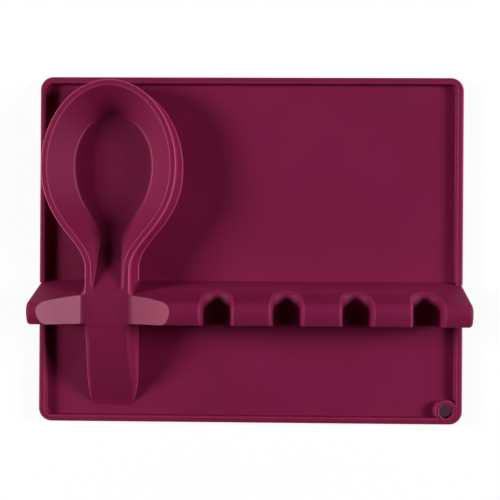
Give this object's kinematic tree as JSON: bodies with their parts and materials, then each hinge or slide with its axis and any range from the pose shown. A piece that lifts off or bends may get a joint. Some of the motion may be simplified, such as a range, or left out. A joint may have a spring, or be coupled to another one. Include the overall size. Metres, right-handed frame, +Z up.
{
  "type": "spoon rest",
  "caption": "Silicone spoon and utensil rest: a low rectangular drip tray with a notched bridge, an egg-shaped spoon bowl whose neck crosses the bridge, and a corner hanging hole.",
  "frame": {"origin": "on the table, under the middle of the tray", "axes": "+X along the bridge to the tray's right, with the spoon bowl on the left; +Y to the back, where the bowl is; +Z up"},
  "size_m": [0.26, 0.212, 0.037],
  "materials": {
    "burgundy_silicone": "satin, finely grained silicone"
  },
  "bodies": {
    "root": {"drip_tray": "burgundy_silicone", "hang_eyelet": "burgundy_silicone", "utensil_bridge": "burgundy_silicone", "spoon_bowl": "burgundy_silicone", "spoon_tail": "burgundy_silicone"}
  },
  "joints": []
}
